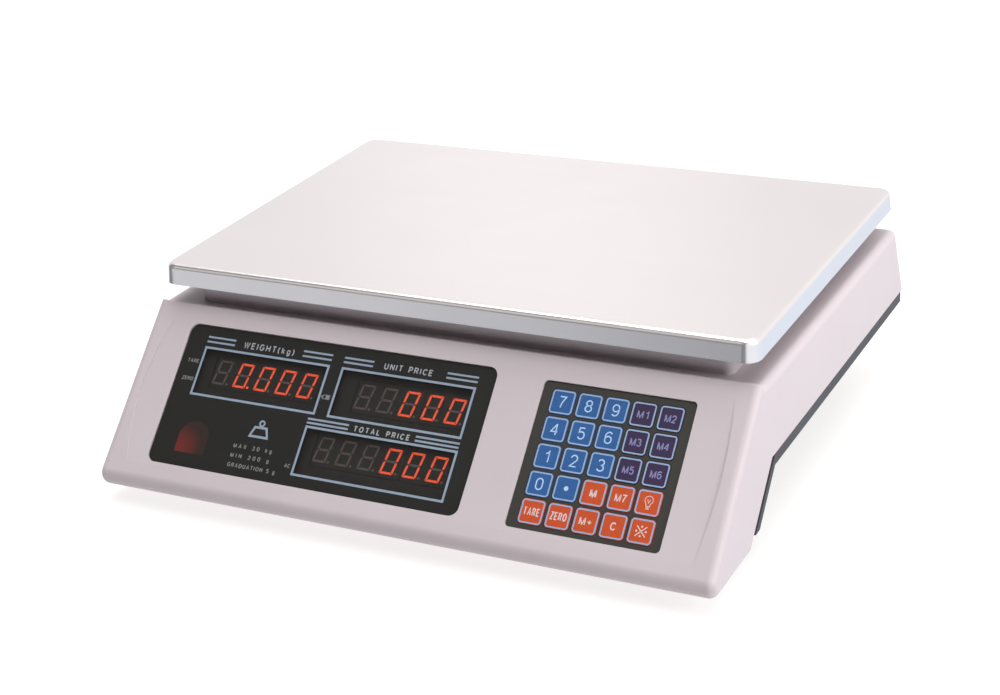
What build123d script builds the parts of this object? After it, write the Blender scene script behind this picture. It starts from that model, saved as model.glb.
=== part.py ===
from build123d import *
import os
from math import atan, cos, degrees, radians, sin, sqrt, tan

# Retail price scale: a lift-off weighing tray over a low housing, with a 45 degree operator console.
# Frame: +X to the operator's right, +Y towards the customer, +Z up. The origin is under the middle
# of the tray's width and within 2.2 mm of the middle of the overall box, on the surface that the
# feet stand on. All sizes are in millimetres.

# ---- overall shape -------------------------------------------------------------------------
overall_height = 112.0
rear_y = 157.0                # rear extreme of the housing
ledge_z = 88.0                # flat top of the housing round the tray
ridge_z, ridge_top = 89.7, 1.4   # the console's upper edge, which stands above the ledge
rim_z = 46.2                  # parting line between housing and base pan
console_bottom_z = 9.0
console_corner_y = -168.1     # where the console face would meet its underside
console_corner_radius = 6.5   # between the two
console_heel_radius = 5.0     # between its underside and the slope under it
console_depth = 43.3          # console thickness, square to its face
console_tilt = 45.0
housing_x = -1.3              # the housing's middle, a little left of the tray's
side_width_at_ledge = 174.9   # half widths
side_width_at_bottom = 175.9
side_edge_radius, ledge_front_radius, ledge_rear_radius = 4.5, 0.8, 4.0
rear_ledge_y = 140.6
wall = 2.6

# ---- tray and plateau ----------------------------------------------------------------------
tray_width, tray_depth, tray_lip = 340.0, 230.0, 11.3
tray_sheet = 1.0
tray_corner_radius, tray_edge_radius = 8.0, 3.0
tray_flare = 1.2              # how far the lip leans out at its lower edge
tray_y = 27.3
plateau_width, plateau_depth, plateau_z = 310.0, 211.0, 99.5
plateau_corner_radius = 5.0
support_x, support_opening = 47.0, (58.0, 54.0)   # where the tray support passes through
splash_collar = 2.0

# ---- base pan ------------------------------------------------------------------------------
pan_wall = 2.5
pan_flange = 6.8              # height of the visible rim
pan_side_inset = 0.5
pan_corner_radius = 6.0       # its two rear corners, in plan
pan_diagonal = 4.2            # thickness of the rim under the console
pan_nose_z = 15.3
well_bottom_z = 20.0
well_width_top, well_width_bottom = 158.0, 150.0
well_rear_top, well_rear_bottom = 140.0, 134.0

# ---- console panel: x to the right, s down the face from the datum line ----------------------
datum_z = 82.3
window_x, window_s, window_width, window_height = -150.1, 0.0, 186.2, 79.8
window_radius, window_sheet, window_recess = 5.0, 2.0, 0.9
keypad_x, keypad_s, keypad_width, keypad_height = 62.7, 2.4, 81.1, 77.1
keypad_radius, keypad_sheet, keypad_recess = 2.3, 1.0, 1.0
panel_gap = 0.2               # round the window and the overlay, in their recesses
key_pitch, key_first_x, key_first_s = 14.4, 74.6, 12.6
key_width, key_height, key_radius = 12.8, 12.9, 2.0
key_gap, key_top, key_foot = 0.2, 0.7, 2.9
key_flange = 13.9
key_board_front = 4.2
key_names = [
    ["key_7", "key_8", "key_9", "key_m1", "key_m2"],
    ["key_4", "key_5", "key_6", "key_m3", "key_m4"],
    ["key_1", "key_2", "key_3", "key_m5", "key_m6"],
    ["key_0", "key_point", "key_m", "key_m7", "key_light"],
    ["key_tare", "key_zero", "key_m_plus", "key_clear", "key_star"],
]
field_sag = 0.75              # the shallow hollow of the console's middle field
field_top_s, field_bottom_s = -3.0, 82.0
field_half_width, field_bulge_left, field_bulge_right = 161.5, 7.2, 3.5

# ---- displays ------------------------------------------------------------------------------
digit_pitch, digit_module_height, digit_module_depth = 13.25, 19.0, 8.0
digit_face = 5.0              # depth of the digits' front behind the console face
board_sheet = 1.6
display_board_holes = [(x, s) for x in (-153.6, 39.6) for s in (12.0, 68.0)]
rear_window_width, rear_window_height, rear_recess, rear_digit_face = 238.0, 31.0, 0.5, 4.6
rear_board_holes = (-117.5, 117.5)
# (middle across the face, middle down it, digits in each module) for the operator's readings
weight_row = (-97.3, 23.9, (4, 1))
unit_price_row = (-9.0, 24.9, (3, 2))
total_price_row = (-16.2, 56.5, (4, 2))
customer_rows = ((-78.0, (4, 1)), (-5.0, (3, 2)), (73.0, (4, 2)))
lamp_x, lamp_s, lamp_radius = -129.0, 62.0, 2.5

# ---- weighing ------------------------------------------------------------------------------
cell_length, cell_width, cell_height = 130.0, 30.0, 22.0
cell_z = 38.0
cell_bolt_offsets = (39.0, 54.0)
plate_x, plate_y, plate_z, plate_sheet = (-64.0, 68.0), (-3.0, 57.6), 30.0, 3.0
plate_bosses = [(x, y) for x in (-56.0, 60.0) for y in (5.0, 49.6)]
stop_x = 47.0                 # overload stop under the cell
support_foot_z, support_foot = 64.0, 6.0
support_arm_z, support_arm = 102.0, 5.0
support_reach_x, support_reach_y = 130.0, 80.0
pad_radius = 8.0              # rubber buttons under the tray

# ---- feet and fixings ----------------------------------------------------------------------
foot_x, foot_front_y, foot_rear_y = 128.0, -62.0, 118.0
foot_places = [(x, y) for y in (foot_front_y, foot_rear_y) for x in (-foot_x, foot_x)]
foot_pad_radius, foot_pad_height = 14.0, 8.0
foot_screw_radius = 4.0
foot_boss_z = 16.0
running_gap = 0.06
case_screw_x, case_screw_y, case_screw_radius = 163.0, (-30.0, 25.0, 132.0), 2.0
battery_bay = ((-144.0, -70.0), (-22.0, 83.0))
cover_screws = [(-107.0, -16.0), (-107.0, 77.0)]
board_x, board_y, board_z = (82.0, 146.0), (-40.0, 46.0), 30.0
board_bosses = [(x, y) for x in (86.0, 142.0) for y in (-36.0, 42.0)]

# ---- power parts on the left wall ----------------------------------------------------------
inlet_y, switch_y, power_z = 95.0, 58.0, 66.0
rocker_tilt = 12.0
rocker_pivot, rocker_end, rocker_dip = -4.2, 7.4, 3.2

slope = tan(radians(22.5))
corner_setback = console_corner_radius / slope
face_line = console_bottom_z - console_corner_y          # z = y + face_line on the console face
underside_line = face_line - console_depth * sqrt(2)      # z = y + underside_line on its underside
draft = (side_width_at_bottom - side_width_at_ledge) / (ledge_z - console_bottom_z)
rear_slant = atan((rear_y - rear_ledge_y) / (ledge_z - rim_z))
tray_z = overall_height - tray_lip

face_normal = (0, -sin(radians(console_tilt)), cos(radians(console_tilt)))
face = Plane(origin=(0, datum_z - face_line, datum_z), x_dir=(1, 0, 0), z_dir=face_normal)
rear = Plane(
    origin=(0, (rear_y + rear_ledge_y) / 2, (rim_z + ledge_z) / 2),
    x_dir=(-1, 0, 0),
    z_dir=(0, cos(rear_slant), sin(rear_slant)),
)


def half_width(z):
    """Half width of the housing at height z."""
    return side_width_at_bottom - draft * (z - console_bottom_z)


def left_wall(y, z):
    """Plane on the outside of the left wall, facing outwards, its x towards the rear."""
    lean = atan(draft)
    return Plane(origin=(housing_x - half_width(z), y, z), x_dir=(0, -1, 0),
                 z_dir=(-cos(lean), 0, sin(lean)))


def profile(points, reach):
    """A (y, z) outline drawn out along X by reach each way."""
    outline = make_face(Polyline(*points, close=True))
    return extrude(Plane.YZ * outline, amount=reach, both=True)


def side_limits(inset, top_z, bottom_z):
    """The space between the two drafted sides, moved in by inset."""
    bottom, top = half_width(bottom_z) - inset, half_width(top_z) - inset
    outline = make_face(Polyline(
        (housing_x - bottom, bottom_z),
        (housing_x + bottom, bottom_z),
        (housing_x + top, top_z),
        (housing_x - top, top_z),
        close=True,
    ))
    return extrude(Plane.XZ * outline, amount=300, both=True)


def block(x, y, z):
    """A box from three (low, high) pairs."""
    size = [high - low for low, high in (x, y, z)]
    middle = [(low + high) / 2 for low, high in (x, y, z)]
    return Pos(*middle) * Box(*size)


def post(x, y, low, high, radius):
    """An upright cylinder from low to high."""
    return Pos(x, y, (low + high) / 2) * Cylinder(radius, high - low)


def slab(plane, x, y, width, height, radius, front, back):
    """A rounded plate, from front to back behind a plane."""
    outline = RectangleRounded(width, height, radius) if radius else Rectangle(width, height)
    return plane * Pos(x, y, -back) * extrude(outline, amount=back - front)


def panel_slab(x, s, width, height, radius, front, back):
    """A rounded plate on the console, placed by its upper left corner."""
    return slab(face, x + width / 2, -s - height / 2, width, height, radius, front, back)


def bolt(x, y, head_z, up, radius, length, head_radius, head_height):
    """A socket-head bolt; its head lies behind head_z and its shank points up or down."""
    shank = post(x, y, *sorted((head_z, head_z + up * length)), radius)
    head = post(x, y, *sorted((head_z, head_z - up * head_height)), head_radius)
    socket_depth = head_height * 0.55
    top = head_z - up * head_height
    socket = Pos(x, y, (top + top + up * socket_depth) / 2) * extrude(
        RegularPolygon(head_radius * 0.5, 6), amount=socket_depth / 2, both=True
    )
    return shank + head - socket


parts = {}

# ==== upper housing ==========================================================================

def housing_block():
    """The housing's outside, before it is hollowed."""
    corners = [
        (ledge_z - face_line, ledge_z),
        (console_corner_y, console_bottom_z),
        (console_bottom_z - underside_line, console_bottom_z),
        (rim_z - underside_line, rim_z),
        (rear_y, rim_z),
        (rear_ledge_y, ledge_z),
    ]
    outline = make_face(Polyline(*corners, close=True))
    for number, radius in ((1, console_corner_radius), (0, ledge_front_radius), (5, ledge_rear_radius)):
        corner = outline.vertices().sort_by_distance(Vector(*corners[number]))[0]
        outline = fillet(corner, radius)
    solid = extrude(Plane.YZ * outline, amount=200, both=True)
    solid = solid & side_limits(0, ledge_z, console_bottom_z)

    def on_console(edge):
        middle = edge.center()
        return abs(middle.X) > 160 and abs(middle.Z - middle.Y - face_line) < 0.3

    # the side edges are tangent to each other from the underside to the rear, so all are rounded
    solid = fillet(solid.edges().filter_by(on_console), side_edge_radius)

    def under_console(edge):
        middle = edge.center()
        return abs(middle.X) < 5 and abs(middle.Y - corners[2][0]) < 0.5 and middle.Z < 12

    return fillet(solid.edges().filter_by(under_console), console_heel_radius)


def console_ridge():
    """The upper edge of the console, standing above the ledge behind it."""
    low_z, depth = ledge_z - 6.0, 40.0
    top_y = ridge_z - face_line
    plate = profile([(low_z - face_line, low_z), (top_y, ridge_z), (top_y + depth, ridge_z),
                     (top_y + depth, low_z)], 200) & side_limits(0, ridge_z, low_z)

    def face_side(edge):
        middle = edge.center()
        return abs(middle.X) > 160 and abs(middle.Z - middle.Y - face_line) < 0.3

    plate = fillet(plate.edges().filter_by(face_side), side_edge_radius)
    back_y = top_y + ridge_top
    return plate & profile([(low_z - face_line - 10, low_z), (top_y - 10, ridge_z + 1),
                            (back_y - 0.2, ridge_z + 1), (back_y + 0.6, low_z)], 200)


def console_field():
    """The shallow hollow of the console's middle, open to the front, between two curved steps."""
    height = field_bottom_s - field_top_s
    middle_s = (field_bottom_s + field_top_s) / 2
    radius = (height ** 2 / 4 + field_sag ** 2) / (2 * field_sag)
    drum = face * Pos(0, -middle_s, radius - field_sag) * Rot(0, 90, 0) * Cylinder(radius, 400)
    side = field_half_width
    top, bottom = -field_top_s, -field_bottom_s
    edges = [
        Line((-side, top), (side, top)),
        ThreePointArc((side, top), (side + field_bulge_right, -middle_s), (side, bottom)),
        Line((side, bottom), (-side, bottom)),
        ThreePointArc((-side, bottom), (-side - field_bulge_left, -middle_s), (-side, top)),
    ]
    region = face * extrude(make_face(Wire(edges)), amount=2, both=True)
    return drum & region


def hollow():
    """The space inside the housing, open towards the base pan."""
    depth = wall * sqrt(2)
    floor_z = console_bottom_z + wall
    inner_face, inner_under = face_line - depth, underside_line + depth
    back_shift = wall / cos(rear_slant)
    lean = tan(rear_slant)
    # the console's lower edge keeps its wall thickness round the outer radius
    round_y, round_z = console_corner_y + corner_setback, console_bottom_z + console_corner_radius
    inner_radius = console_corner_radius - wall
    corners = [
        (ledge_z - wall - inner_face, ledge_z - wall),
        (round_y - inner_radius * sin(radians(45)), round_z + inner_radius * cos(radians(45))),
        (round_y, floor_z),
        (floor_z - inner_under, floor_z),
        (pan_nose_z - inner_under, pan_nose_z),
        (pan_nose_z - underside_line + 20.0, pan_nose_z),
        (rim_z - underside_line + 20.0, rim_z - 20.0),
        (rear_y - back_shift + 20.0 * lean, rim_z - 20.0),
        (rear_ledge_y - back_shift + wall * lean, ledge_z - wall),
    ]
    return profile(corners, 200) & side_limits(wall, ledge_z - wall, console_bottom_z)


def peg(plane, x, y, front, back):
    """A peg behind a plane, with a blind hole for a small screw in its free end."""
    solid = plane * Pos(x, y, -(front + back) / 2) * Cylinder(3.0, back - front)
    return solid - plane * Pos(x, y, -back + 3.0) * Cylinder(1.35, 6.6)


def upper_housing():
    shell = housing_block() + console_ridge() - console_field()
    plateau = Pos(0, tray_y, ledge_z - 1) * extrude(
        RectangleRounded(plateau_width, plateau_depth, plateau_corner_radius),
        amount=plateau_z - ledge_z + 1,
        taper=3,
    )
    plateau = fillet(plateau.edges().group_by(Axis.Z)[-1], 2.0)
    shell = shell + plateau - hollow()
    shell -= Pos(0, tray_y, ledge_z - wall - 1) * extrude(
        RectangleRounded(plateau_width - 2 * wall - 2, plateau_depth - 2 * wall - 2, 9),
        amount=plateau_z - ledge_z + 1,
    )

    # way through for the tray support, with a raised splash collar
    width, depth = support_opening
    shell += Pos(support_x, tray_y, plateau_z - 2) * extrude(
        RectangleRounded(width + 2 * splash_collar, depth + 2 * splash_collar, 6), amount=3.4
    )
    shell -= Pos(support_x, tray_y, ledge_z - 5) * extrude(
        RectangleRounded(width, depth, 4), amount=30
    )

    # thickened frames behind the window and the keypad, then their recesses and openings
    border = 8.0
    shell += panel_slab(window_x - border, window_s - 3, window_width + 2 * border,
                        window_height + 6, 3, 1.8, 6.0)
    shell += panel_slab(keypad_x - 5, keypad_s - 4, keypad_width + 10, keypad_height + 8, 3, 1.8,
                        key_board_front)
    shell -= panel_slab(window_x - panel_gap, window_s - panel_gap, window_width + 2 * panel_gap,
                        window_height + 2 * panel_gap, window_radius + panel_gap, -3,
                        window_recess + window_sheet)
    shell -= panel_slab(window_x + 4, window_s + 5, window_width - 8, window_height - 10, 3, 0, 8)
    shell -= panel_slab(keypad_x - panel_gap, keypad_s - panel_gap, keypad_width + 2 * panel_gap,
                        keypad_height + 2 * panel_gap, keypad_radius + panel_gap, -3,
                        keypad_recess + keypad_sheet)
    shell -= key_well()

    # pegs that carry the display board
    for x, s in display_board_holes:
        shell += peg(face, x, -s, 5.0, digit_face + digit_module_depth)

    # rear window: frame, recess, opening and pegs
    shell += slab(rear, 0, 0, rear_window_width + 10, rear_window_height + 6, 3, 1.5, 5.5)
    shell -= slab(rear, 0, 0, rear_window_width + 2 * panel_gap, rear_window_height + 2 * panel_gap,
                  4, -3, rear_recess + window_sheet)
    shell -= slab(rear, 0, 0, rear_window_width - 10, rear_window_height - 8, 2, 0, 8)
    for x in rear_board_holes:
        shell += peg(rear, x, 0, 4.5, rear_digit_face + digit_module_depth)

    # screw posts, joined to the side walls by webs
    for side in (-1, 1):
        for y in case_screw_y:
            column = post(side * case_screw_x, y, rim_z, ledge_z - wall + 0.5, 4.6)
            web = block(sorted((side * case_screw_x, side * (case_screw_x + 12))), (y - 1.2, y + 1.2),
                        (rim_z + 6, ledge_z - wall + 0.5))
            shell += column + (web & side_limits(1, ledge_z, rim_z))
            shell -= post(side * case_screw_x, y, rim_z - 1, rim_z + 24, case_screw_radius + 0.05)

    # openings for the mains inlet and the power switch
    shell -= left_wall(inlet_y, power_z) * Box(27.4, 20.0, 12)
    shell -= left_wall(switch_y, power_z) * Box(19.4, 13.3, 12)
    return shell


# ==== console window, keypad and displays =====================================================
def key_centres():
    for row, names in enumerate(key_names):
        for column, name in enumerate(names):
            yield name, key_first_x + column * key_pitch, key_first_s + row * key_pitch


def key_well():
    """The way through the housing under the keys."""
    across = (len(key_names) - 1) * key_pitch
    span = across + key_flange + 0.8
    x, s = key_first_x + across / 2, key_first_s + across / 2
    return slab(face, x, -s, span, span, 1.5, 0, 9)


def key_cap(x, s):
    cap = slab(face, x, -s, key_width, key_height, key_radius, key_top, key_foot)
    crown = cap.faces().sort_by(Axis((0, 0, 0), face_normal))[-1]
    cap = fillet(crown.edges(), 0.3)
    return cap + slab(face, x, -s, key_flange, key_flange, 1.0, key_foot - 0.6, key_foot)


def keypad_overlay():
    sheet = panel_slab(keypad_x, keypad_s, keypad_width, keypad_height, keypad_radius,
                       keypad_recess, keypad_recess + keypad_sheet)
    for _, x, s in key_centres():
        sheet -= slab(face, x, -s, key_width + 2 * key_gap, key_height + 2 * key_gap,
                      key_radius + key_gap, 0, 4)
    return sheet


def keypad_board():
    board = panel_slab(keypad_x - 3, keypad_s - 2.5, keypad_width + 6, keypad_height + 5, 2,
                       key_board_front, key_board_front + board_sheet)
    domes = []
    for _, x, s in key_centres():
        dome = face * Pos(x, -s, -key_board_front) * Cone(3.5, 2.2, 0.6, align=(
            Align.CENTER, Align.CENTER, Align.MIN))
        domes.append(dome)
    return board + domes


def digit_row(plane, middle_x, middle_y, groups, front):
    """Display modules side by side; groups gives the digits in each."""
    gap = 0.3
    count = sum(groups)
    left = middle_x - count * digit_pitch / 2
    modules = []
    for group in groups:
        width = group * digit_pitch - gap
        module = slab(plane, left + gap / 2 + width / 2, middle_y, width, digit_module_height, 0,
                      front, front + digit_module_depth)
        rim = module.faces().sort_by(Axis((0, 0, 0), tuple(plane.z_dir)))[-1].edges()
        modules.append(chamfer(rim, 0.3))
        left += group * digit_pitch
    return Compound(children=modules)


def display_boards():
    """The operator's display board, and the customer's."""
    front_depth = digit_face + digit_module_depth
    front = panel_slab(window_x - 7, window_s + 4, window_width + 14, window_height - 8, 2,
                       front_depth, front_depth + board_sheet)
    for x, s in display_board_holes:
        front -= face * Pos(x, -s, -front_depth) * Cylinder(1.6, 6)
    rear_depth = rear_digit_face + digit_module_depth
    back = slab(rear, 0, 0, rear_window_width + 6, 24, 2, rear_depth, rear_depth + board_sheet)
    for x in rear_board_holes:
        back -= rear * Pos(x, 0, -rear_depth) * Cylinder(1.6, 6)
    return Compound(children=[front, back])


def indicator_lamp():
    """A round lamp on the display board, behind the small arched pane."""
    board = digit_face + digit_module_depth
    on_board = (Align.CENTER, Align.CENTER, Align.MIN)
    place = face * Pos(lamp_x, -lamp_s, -board)
    body = place * Cylinder(lamp_radius, 5.0, align=on_board)
    dome = place * Pos(0, 0, 5.0) * Sphere(lamp_radius)
    flange = place * Cylinder(lamp_radius + 0.4, 1.0, align=on_board)
    return body + dome + flange


# ==== base pan ================================================================================
pan_line = underside_line - pan_diagonal * sqrt(2)
pan_bottom_z = rim_z - pan_flange


def well_solid(inset, top_z):
    """The pan's deep middle, moved in by inset and drawn up to top_z."""
    def at(low, high, z):
        return low + (high - low) * (z - well_bottom_z) / (pan_bottom_z - well_bottom_z)

    floor_z = well_bottom_z + inset
    shift = inset * sqrt(2)
    side = [(at(well_width_bottom, well_width_top, z) - inset, z) for z in (floor_z, top_z)]
    back = [(at(well_rear_bottom, well_rear_top, z) - inset, z) for z in (floor_z, top_z)]
    front = [(z - pan_line + shift, z) for z in (floor_z, top_z)]
    across = make_face(Polyline(*side, *[(-x, z) for x, z in reversed(side)], close=True))
    along = profile([front[0], back[0], back[1], front[1]], 170)
    solid = along & extrude(Plane.XZ * across, amount=200, both=True)

    def rear_corner(edge):
        middle = edge.center()
        return abs(middle.X) > 140 and middle.Y > 120 and floor_z + 1 < middle.Z < top_z - 1

    return fillet(solid.edges().filter_by(rear_corner), 12.0 - inset)


def base_pan():
    rim = [
        (rim_z - underside_line, rim_z),
        (rear_y, rim_z),
        (rear_y - 0.3, pan_bottom_z),
        (pan_bottom_z - pan_line, pan_bottom_z),
        (pan_nose_z - pan_line, pan_nose_z),
        (pan_nose_z - underside_line, pan_nose_z),
    ]
    pan = profile(rim, 200) & side_limits(pan_side_inset, rim_z, console_bottom_z)

    def rear_upright(edge):
        middle = edge.center()
        return abs(middle.X) > 165 and middle.Y > 150 and edge.length < 9

    pan = fillet(pan.edges().filter_by(rear_upright).filter_by(Axis.Z, tolerance=12), pan_corner_radius)
    pan += well_solid(0, pan_bottom_z + 1)

    depth = pan_wall * sqrt(2)
    inner = [
        (pan_nose_z + pan_wall - pan_line - depth, pan_nose_z + pan_wall),
        (pan_bottom_z + pan_wall - pan_line - depth, pan_bottom_z + pan_wall),
        (rear_y - pan_wall - 3, pan_bottom_z + pan_wall),
        (rear_y - pan_wall, pan_bottom_z + pan_wall + 3),
        (rear_y - pan_wall, rim_z + 5),
        (rim_z + 5 - pan_line - depth - 12, rim_z + 5),
        (pan_nose_z + pan_wall - pan_line - depth - 12, pan_nose_z + pan_wall),
    ]
    pan -= profile(inner, 200) & side_limits(pan_side_inset + pan_wall, rim_z + 6, console_bottom_z)
    pan -= well_solid(pan_wall, pan_bottom_z + pan_wall + 1)

    floor = well_bottom_z + pan_wall
    # bosses for the feet, the load cell's plate, the circuit board and the case screws
    for x, y in foot_places:
        pan += post(x, y, foot_boss_z, 40.0, 10.0)
    for x, y in plate_bosses:
        pan += post(x, y, floor - 1, plate_z, 6.0)
    for x, y in board_bosses:
        pan += post(x, y, floor - 1, board_z, 3.5)
    for x, y in foot_places:
        pan -= post(x, y, 0, 60, foot_screw_radius + running_gap)
    for x, y in plate_bosses:
        pan -= post(x, y, floor + 1, 60, 2.05)
    for x, y in board_bosses:
        pan -= post(x, y, floor + 1, 60, 1.35)
    for side in (-1, 1):
        for y in case_screw_y:
            pan += post(side * case_screw_x, y, pan_bottom_z, rim_z, 5.6)
            pan -= post(side * case_screw_x, y, 30, 60, case_screw_radius + 0.2)
            pan -= post(side * case_screw_x, y, 30, pan_bottom_z + 3.4, 4.2)

    # stiffening ribs inside, clear of what stands on the floor
    for x in (-67.0, 76.0):
        pan += block((x - 1, x + 1), (-70, -8), (floor - 1, floor + 2.5))
    for y in (-72.0, 104.0):
        pan += block((-110, 110), (y - 1, y + 1), (floor - 1, floor + 7))
    # battery bay, closed by its own cover, and a low fence round the battery
    (x0, x1), (y0, y1) = battery_bay
    fence = block((x0 - 0.5, x1 + 1.5), (y0 - 1.5, y1 + 1.5), (floor - 1, floor + 6))
    pan += fence - block((x0 + 1, x1 - 1), (y0 + 1, y1 - 1), (0, 60))
    pan -= block((x0 + 1, x1 - 1), (y0 + 1, y1 - 1), (floor - 1, 60))
    pan -= block((x0, x1), (y0, y1), (10, floor))
    # vent slots under the transformer
    for i in range(6):
        pan -= block((90.0, 126.0), (62.0 + i * 6, 65.0 + i * 6), (15, floor + 1))
    return pan


def battery_cover():
    (x0, x1), (y0, y1) = battery_bay
    gap = 0.3
    cover = block((x0 + gap, x1 - gap), (y0 + gap, y1 - gap), (well_bottom_z, well_bottom_z + 2.3))
    rim = cover.faces().sort_by(Axis.Z)[0].edges()
    cover = chamfer(rim, 0.6)
    for i in range(5):
        cover -= block((x0 + 16, x1 - 16), (y1 - 26 + i * 4, y1 - 24 + i * 4), (0, well_bottom_z + 0.8))
    for x, y in cover_screws:
        cover -= post(x, y, 0, 60, 1.8)
        cover -= post(x, y, 0, well_bottom_z + 1.2, 3.4)
    return cover


# ==== weighing parts ==========================================================================
def load_cell():
    """A single-point cell: an aluminium bar with a two-lobed window through its middle."""
    bar = Pos(0, tray_y, cell_z + cell_height / 2) * Box(cell_length, cell_width, cell_height)
    bar = chamfer(bar.edges(), 0.5)
    middle = cell_z + cell_height / 2
    for x in (-13.0, 13.0):
        bar -= Pos(x, tray_y, middle) * Rot(90, 0, 0) * Cylinder(8.2, cell_width + 2)
    bar -= Pos(0, tray_y, middle) * Box(26, cell_width + 2, 9)
    for x in cell_bolt_offsets:
        bar -= post(-x, tray_y, cell_z - 1, cell_z + 16, 3.05)
        bar -= post(x, tray_y, cell_z + 6, cell_z + cell_height + 1, 3.05)
    return bar


def cell_plates():
    """The steel plate under the cell, and the spacers at the cell's two ends."""
    plate = block(plate_x, plate_y, (plate_z, plate_z + plate_sheet))
    plate = fillet(plate.edges().filter_by(Axis.Z), 4)
    for x, y in plate_bosses:
        plate -= post(x, y, 0, 60, 2.4)
    plate -= post(stop_x, tray_y, 0, 60, 3.05)
    half = cell_width / 2
    lower = block((-cell_length / 2, -27), (tray_y - half, tray_y + half), (plate_z + plate_sheet, cell_z))
    upper_z = cell_z + cell_height
    upper = block((27, cell_length / 2), (tray_y - half, tray_y + half), (upper_z, support_foot_z))
    for x in cell_bolt_offsets:
        plate -= post(-x, tray_y, 0, 60, 3.2)
        lower -= post(-x, tray_y, 0, 60, 3.2)
        upper -= post(x, tray_y, 0, 90, 3.2)
    return Compound(children=[plate, lower, upper])


def cell_bolts():
    """Two bolts at each end of the cell, the overload stop, and the plate's four screws."""
    pieces = []
    for x in cell_bolt_offsets:
        pieces.append(bolt(-x, tray_y, plate_z, 1, 3.0, 22.0, 5.0, 5.5))
        pieces.append(bolt(x, tray_y, support_foot_z + support_foot, -1, 3.0, 22.0, 5.0, 5.5))
    stop = bolt(stop_x, tray_y, plate_z - 0.2, 1, 3.0, cell_z - plate_z - 0.4, 4.6, 4.0)
    nut = Pos(stop_x, tray_y, plate_z + plate_sheet) * extrude(RegularPolygon(5.4, 6), amount=2.6)
    pieces.append(stop + nut)
    for x, y in plate_bosses:
        pieces.append(bolt(x, y, plate_z + plate_sheet, -1, 2.0, 9.0, 3.6, 2.4))
    return Compound(children=pieces)


def tray_support():
    """A cross of four arms on a bridge that is bolted to the free end of the load cell."""
    top = support_arm_z + support_arm
    plate = block((-34, 72), (tray_y - 20, tray_y + 20), (support_arm_z, top))
    plate = fillet(plate.edges().filter_by(Axis.Z), 6)
    spider = plate
    for sx in (-1, 1):
        for sy in (-1, 1):
            end_x, end_y = sx * support_reach_x, tray_y + sy * support_reach_y
            length = sqrt(support_reach_x ** 2 + support_reach_y ** 2)
            angle = degrees(atan(support_reach_y / support_reach_x)) * sx * sy
            arm = Pos(end_x / 2, tray_y + sy * support_reach_y / 2, support_arm_z + support_arm / 2)
            spider += arm * Rot(0, 0, angle) * Box(length, 16, support_arm)
            rib = Pos(end_x / 2, tray_y + sy * support_reach_y / 2, top + 1.0)
            spider += rib * Rot(0, 0, angle) * Box(length - 24, 4, 3.0)
            spider += post(end_x, end_y, support_arm_z, top, 12.0)
            spider -= post(end_x, end_y, top - 2.0, top + 1, pad_radius + 0.1)
    foot_top = support_foot_z + support_foot
    foot = block((27, 67), (tray_y - 17, tray_y + 17), (support_foot_z, foot_top))
    spider += foot
    for sy in (-1, 1):
        low = tray_y + sy * 15 - 2
        spider += block((27, 67), (low, low + 4), (support_foot_z, top))
    for x in cell_bolt_offsets:
        spider -= post(x, tray_y, 0, 90, 3.2)
        spider -= post(x, tray_y, 90, 120, 6.5)
    return spider


def tray_pads():
    """Rubber buttons in the arms' cups, on which the tray rests."""
    base = support_arm_z + support_arm - 2.0
    pieces = []
    for sx in (-1, 1):
        for sy in (-1, 1):
            pad = post(sx * support_reach_x, tray_y + sy * support_reach_y, base,
                       overall_height - tray_sheet, pad_radius)
            pieces.append(fillet(pad.edges().group_by(Axis.Z)[-1], 1.2))
    return Compound(children=pieces)


def tray():
    """A pressed stainless tray with rolled edges and a turned-down lip."""
    lean = atan(tray_flare / tray_lip)

    def pressing(inset, radius, low, high):
        """A block that leans in towards its rounded top, from low to high above the lip's edge."""
        spread = 2 * (tray_flare - low * tan(lean) - inset)
        solid = Pos(0, tray_y, tray_z + low) * extrude(
            RectangleRounded(tray_width + spread, tray_depth + spread, tray_corner_radius - inset),
            amount=high - low,
            taper=degrees(lean),
        )
        return fillet(solid.edges().group_by(Axis.Z)[-1], radius)

    skin = pressing(0, tray_edge_radius, 0, tray_lip)
    return skin - pressing(tray_sheet, tray_edge_radius - tray_sheet, -1.0, tray_lip - tray_sheet)


# ==== electrical parts ========================================================================
def main_board():
    board = block(board_x, board_y, (board_z, board_z + board_sheet))
    for x, y in board_bosses:
        board -= post(x, y, 0, 60, 1.6)
    top = board_z + board_sheet
    pieces = [board]
    for (x, y, width, depth, height) in (
        (114, 8, 14, 14, 2.6), (100, -12, 10, 18, 3.0), (128, -14, 18, 8, 3.5), (88, 20, 5, 16, 8.0),
        (88, -12, 5, 22, 8.0), (132, 24, 9, 14, 10.0), (106, -34, 22, 5, 8.0), (112, 38, 18, 6, 9.0),
    ):
        pieces.append(block((x - width / 2, x + width / 2), (y - depth / 2, y + depth / 2),
                            (top, top + height)))
    for x, y, radius, height in ((132, 4, 5.0, 12.0), (120, -26, 4.0, 10.0), (100, 26, 4.0, 10.0)):
        pieces.append(post(x, y, top, top + height, radius))
    return Compound(children=pieces)


def battery():
    """A sealed six volt battery, lying on its side."""
    body = block((-142.0, -72.0), (-20.0, 81.0), (well_bottom_z + 2.4, 69.5))
    body = fillet(body.edges().filter_by(Axis.Y), 2.0)
    tabs = [block((x - 3.0, x + 3.0), (-27.0, -20.0), (58.0, 58.8)) for x in (-132.0, -82.0)]
    return body + tabs


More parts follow.
